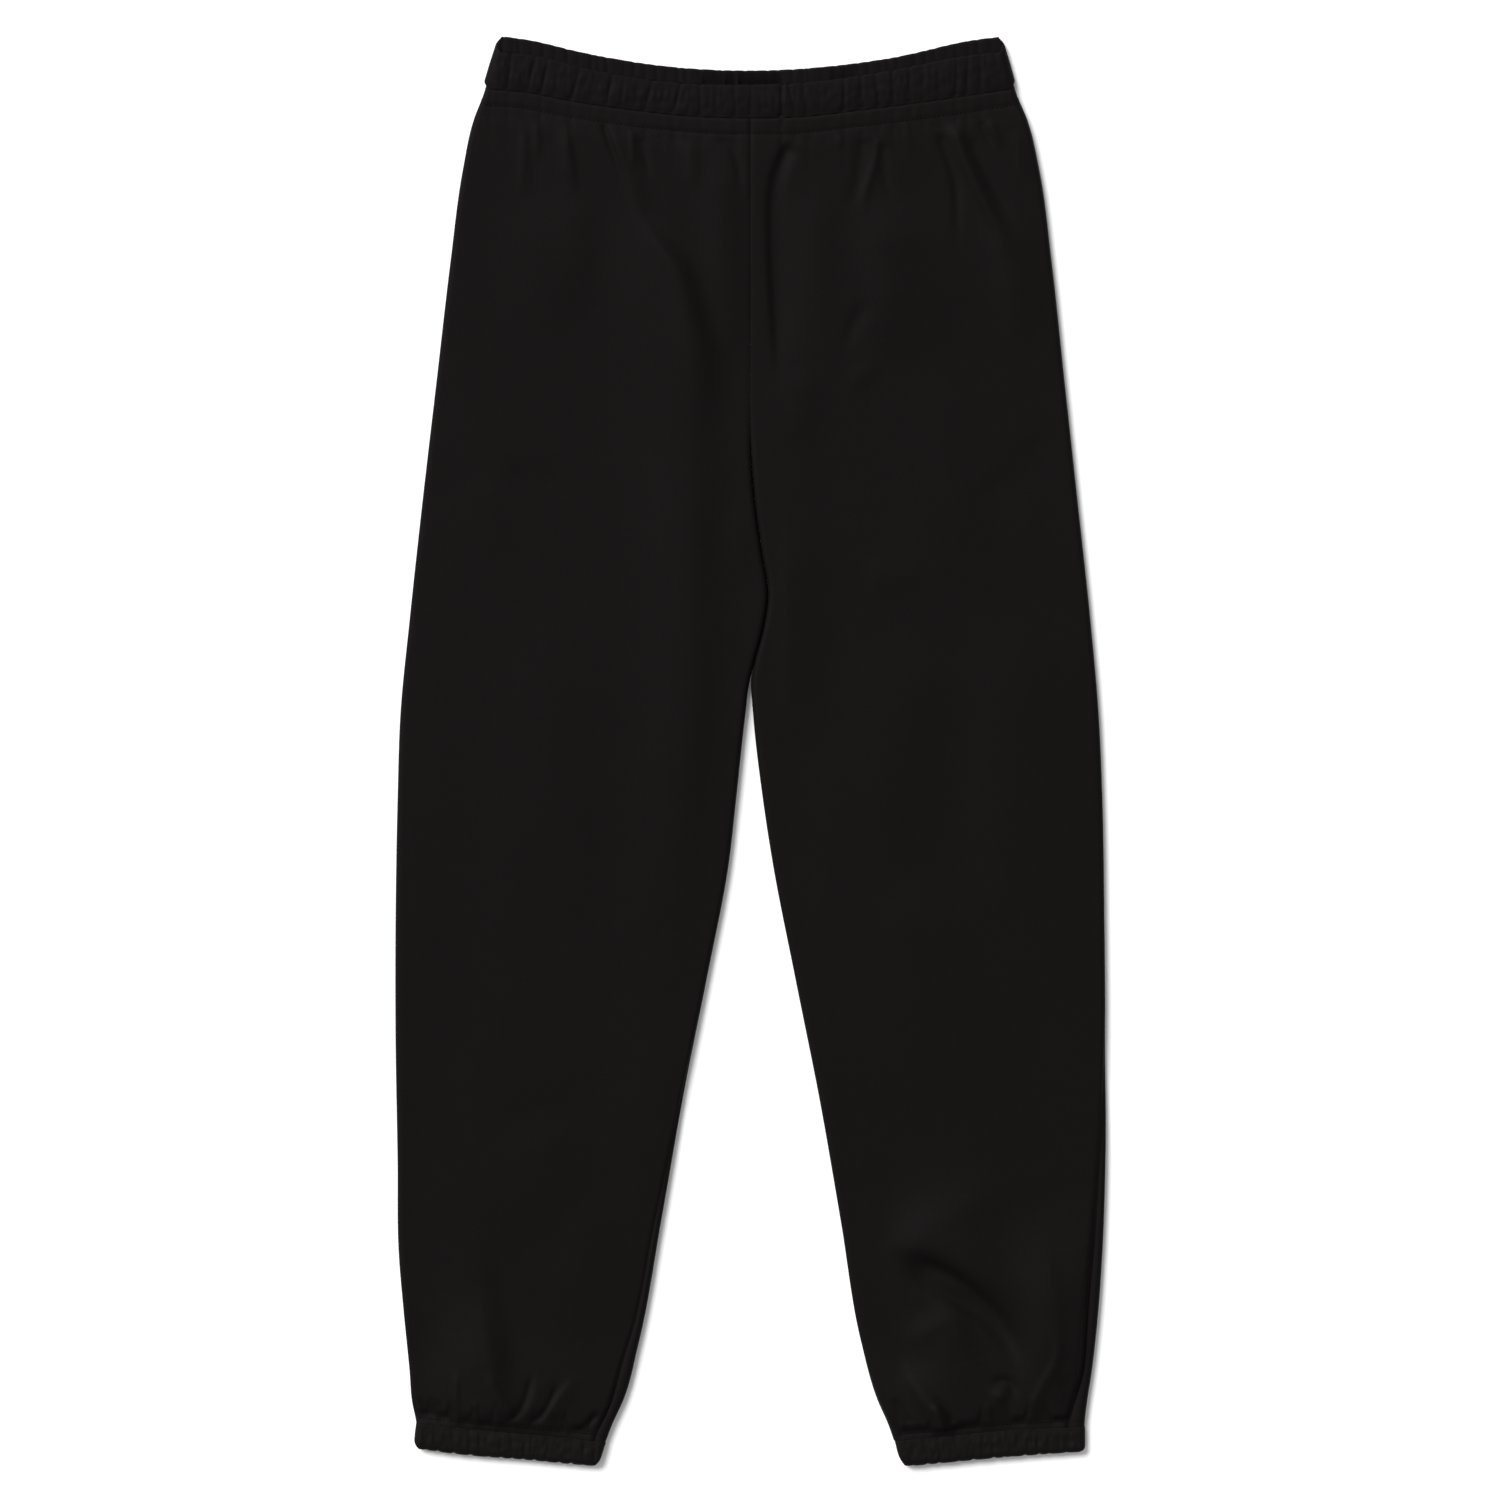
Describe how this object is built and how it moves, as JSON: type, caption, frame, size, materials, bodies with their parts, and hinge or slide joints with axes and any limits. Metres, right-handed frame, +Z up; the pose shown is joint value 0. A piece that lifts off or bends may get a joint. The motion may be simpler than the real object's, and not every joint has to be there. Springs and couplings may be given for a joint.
{
  "type": "jogger sweatpants laid flat",
  "caption": "Full-length fleece jogger sweatpants laid flat front up, with a gathered elastic waistband and short gathered leg cuffs.",
  "frame": {"origin": "centre of the laid garment's outline, on the surface that it lies on", "axes": "+Z up out of the front, +Y towards the waist, +X towards the wearer's left leg"},
  "size_m": [0.5331, 1.072, 0.0159],
  "materials": {
    "fleece": "matt brushed fleece, black",
    "casing": "matt fleece casing gathered over elastic, black"
  },
  "bodies": {
    "root": {"front_right_leg": "fleece", "front_left_leg": "fleece", "back_right_leg": "fleece", "back_left_leg": "fleece", "waistband": "casing", "cuff_right": "casing", "cuff_left": "casing"}
  },
  "joints": []
}
